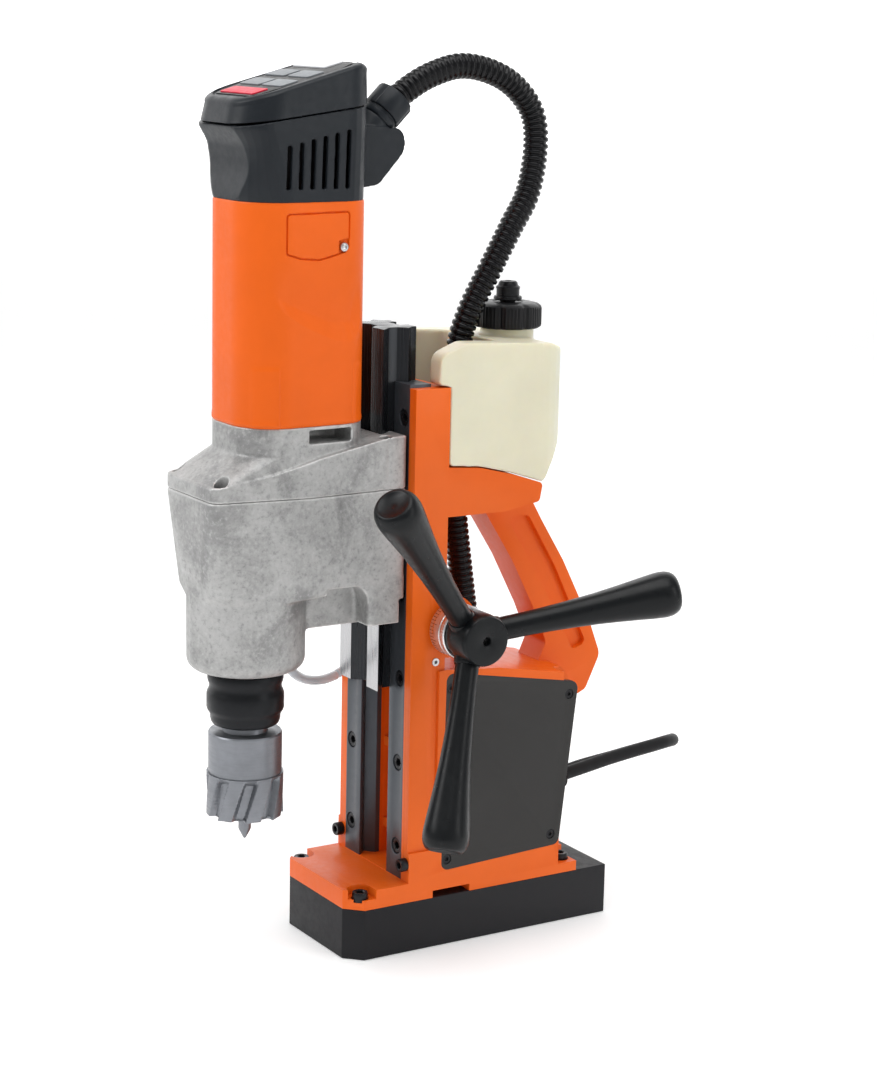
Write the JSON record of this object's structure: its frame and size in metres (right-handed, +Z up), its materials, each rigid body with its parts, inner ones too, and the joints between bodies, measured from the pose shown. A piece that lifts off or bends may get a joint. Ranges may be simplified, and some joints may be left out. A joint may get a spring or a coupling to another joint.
{
  "type": "magnetic_drill_press",
  "caption": "Magnetic drill press: motor and gear case on a dovetail slide, three-arm hand wheel, annular cutter, coolant tank and a magnet foot on an orange cast stand.",
  "frame": {"origin": "middle of the magnet's underside", "axes": "+Z up out of the magnet, -Y to the tool side, +X to the hand wheel side"},
  "size_m": [0.324, 0.3916, 0.5603],
  "materials": {
    "orange_paint": "satin orange powder coat on cast aluminium",
    "orange_plastic": "satin orange moulded nylon",
    "magnet_black": "matt black paint on steel",
    "copper": "enamelled copper winding",
    "potting_resin": "black potting resin",
    "rail_steel": "blue-grey hard anodised",
    "black_oxide": "black oxide",
    "grey_cover": "dark warm grey, fine grain",
    "board_green": "circuit board",
    "black_rubber": "black rubber",
    "bronze": "sintered bronze",
    "bright_steel": "ground steel",
    "tank_plastic": "cream translucent polyethylene",
    "conduit_plastic": "black corrugated nylon",
    "clear_hose": "clear hose",
    "black_anodised": "black anodised with machined lands",
    "raw_casting": "raw blasted aluminium casting",
    "charcoal_plastic": "dark blue-grey nylon",
    "lamination_steel": "varnished laminations",
    "sleeve_black": "black phosphate",
    "cutter_steel": "ground high speed steel",
    "grip_plastic": "satin black plastic",
    "dial_aluminium": "clear anodised, engraved scale",
    "cap_plastic": "black plastic",
    "red_key": "red membrane",
    "light_key": "light grey membrane",
    "grey_key": "grey membrane"
  },
  "bodies": {
    "stand": {"magnet_body": "magnet_black", "magnet_coil": "copper", "magnet_potting": "potting_resin", "stand_casting": "orange_paint", "guide_rail_left": "rail_steel", "guide_rail_right": "rail_steel", "rail_screws": "black_oxide", "base_screws": "black_oxide", "guard_screws": "black_oxide", "side_cover_right": "grey_cover", "side_cover_left": "grey_cover", "side_cover_screws": "black_oxide", "control_board": "board_green", "cord_gland": "black_rubber", "power_cord": "black_rubber", "cord_coil": "black_rubber", "plug": "black_rubber", "pinion_bushes": "bronze", "bush_set_screw": "bright_steel", "coolant_tank": "tank_plastic", "conduit_gland": "conduit_plastic", "conduit_lower": "conduit_plastic", "coolant_hose_rear": "clear_hose"},
    "carriage": {"carriage_slide": "black_anodised", "feed_rack": "bright_steel"},
    "drill_unit": {"gear_housing": "raw_casting", "gear_cover": "raw_casting", "cover_screws": "black_oxide", "motor_housing": "orange_plastic", "head_shell": "charcoal_plastic", "head_cap": "charcoal_plastic", "brush_cover": "orange_plastic", "brush_cover_screw": "bright_steel", "motor_stator": "lamination_steel", "ball_bearings": "bright_steel", "conduit_collar": "charcoal_plastic", "hose_barb": "bright_steel", "conduit_upper": "conduit_plastic", "coolant_hose_front": "clear_hose"},
    "clamp": {"clamp_lever": "grip_plastic"},
    "rotor": {"armature": "lamination_steel"},
    "lay_shaft_1": {"first_gear": "bright_steel"},
    "lay_shaft_2": {"second_gear": "bright_steel"},
    "spindle": {"spindle": "bright_steel", "annular_cutter": "cutter_steel"},
    "sleeve": {"chuck_sleeve": "sleeve_black"},
    "pilot": {"pilot_pin": "cutter_steel"},
    "hand_wheel": {"pinion_shaft": "bright_steel", "wheel_hub": "grip_plastic", "wheel_arms": "bright_steel", "wheel_grips": "grip_plastic"},
    "dial": {"depth_dial": "dial_aluminium"},
    "filler_cap": {"tank_cap": "cap_plastic"},
    "spout": {"cap_spout": "cap_plastic"},
    "stop_button": {"stop_key": "red_key"},
    "start_button": {"start_key": "light_key"},
    "speed_up_button": {"speed_up_key": "grey_key"},
    "speed_down_button": {"speed_down_key": "grey_key"},
    "magnet_button": {"magnet_key": "grey_key"},
    "direction_button": {"direction_key": "grey_key"}
  },
  "joints": [
    {"name": "feed_slide", "type": "slide", "parent": "stand", "child": "carriage", "axis": [0, 0, 1], "range_m": [-0.118, 0.012], "deforming": ["conduit_lower", "coolant_hose_rear"]},
    {"name": "height_adjust", "type": "slide", "parent": "carriage", "child": "drill_unit", "axis": [0, 0, 1], "range_m": [-0.04, 0.06], "deforming": ["conduit_upper", "coolant_hose_front"]},
    {"name": "hand_wheel_turn", "type": "hinge", "parent": "stand", "child": "hand_wheel", "pos_m": [0, -0.0278, 0.2093], "axis": [1, 0, 0], "range_deg": [-66, 645]},
    {"name": "dial_turn", "type": "hinge", "parent": "hand_wheel", "child": "dial", "pos_m": [0.05, -0.0278, 0.2093], "axis": [1, 0, 0], "range_deg": [-180, 180]},
    {"name": "clamp_turn", "type": "hinge", "parent": "drill_unit", "child": "clamp", "pos_m": [-0.046, -0.0645, 0.262], "axis": [1, 0, 0], "range_deg": [-70, 0]},
    {"name": "spindle_spin", "type": "hinge", "parent": "drill_unit", "child": "spindle", "pos_m": [0, -0.1487, 0.2], "axis": [0, 0, 1], "continuous": true},
    {"name": "lay_shaft_2_spin", "type": "hinge", "parent": "drill_unit", "child": "lay_shaft_2", "pos_m": [0.006, -0.11905, 0.27], "axis": [0, 0, 1], "continuous": true},
    {"name": "lay_shaft_1_spin", "type": "hinge", "parent": "drill_unit", "child": "lay_shaft_1", "pos_m": [0, -0.0922, 0.3], "axis": [0, 0, 1], "continuous": true},
    {"name": "rotor_spin", "type": "hinge", "parent": "drill_unit", "child": "rotor", "pos_m": [0, -0.1202, 0.4], "axis": [0, 0, 1], "continuous": true},
    {"name": "sleeve_slide", "type": "slide", "parent": "spindle", "child": "sleeve", "axis": [0, 0, 1], "range_m": [-0.0035, 0.0012], "stiffness_N_per_m": 900, "springref_m": 0.002},
    {"name": "pilot_slide", "type": "slide", "parent": "spindle", "child": "pilot", "axis": [0, 0, 1], "range_m": [0, 0.045], "stiffness_N_per_m": 150, "springref_m": -0.015},
    {"name": "cap_turn", "type": "hinge", "parent": "stand", "child": "filler_cap", "pos_m": [0, 0.0372, 0.395], "axis": [0, 0, 1], "range_deg": [0, 450]},
    {"name": "spout_pull", "type": "slide", "parent": "filler_cap", "child": "spout", "axis": [0, 0, 1], "range_m": [0, 0.006]},
    {"name": "stop_press", "type": "slide", "parent": "drill_unit", "child": "stop_button", "axis": [0, 0.2689, -0.9632], "range_m": [0, 0.0008], "stiffness_N_per_m": 2500, "springref_m": -0.0004},
    {"name": "start_press", "type": "slide", "parent": "drill_unit", "child": "start_button", "axis": [0, 0.2689, -0.9632], "range_m": [0, 0.0008], "stiffness_N_per_m": 2500, "springref_m": -0.0004},
    {"name": "speed_up_press", "type": "slide", "parent": "drill_unit", "child": "speed_up_button", "axis": [0, 0.2689, -0.9632], "range_m": [0, 0.0008], "stiffness_N_per_m": 2500, "springref_m": -0.0004},
    {"name": "speed_down_press", "type": "slide", "parent": "drill_unit", "child": "speed_down_button", "axis": [0, 0.2689, -0.9632], "range_m": [0, 0.0008], "stiffness_N_per_m": 2500, "springref_m": -0.0004},
    {"name": "magnet_press", "type": "slide", "parent": "drill_unit", "child": "magnet_button", "axis": [0, 0.2689, -0.9632], "range_m": [0, 0.0008], "stiffness_N_per_m": 2500, "springref_m": -0.0004},
    {"name": "direction_press", "type": "slide", "parent": "drill_unit", "child": "direction_button", "axis": [0, 0.2689, -0.9632], "range_m": [0, 0.0008], "stiffness_N_per_m": 2500, "springref_m": -0.0004}
  ],
  "couplings": [
    {"joint": "hand_wheel_turn", "follows": "feed_slide", "rad_per_m": -95.238},
    {"joint": "lay_shaft_2_spin", "follows": "spindle_spin", "ratio": -2.6667},
    {"joint": "lay_shaft_1_spin", "follows": "spindle_spin", "ratio": 7.1111},
    {"joint": "rotor_spin", "follows": "spindle_spin", "ratio": -42.667}
  ]
}
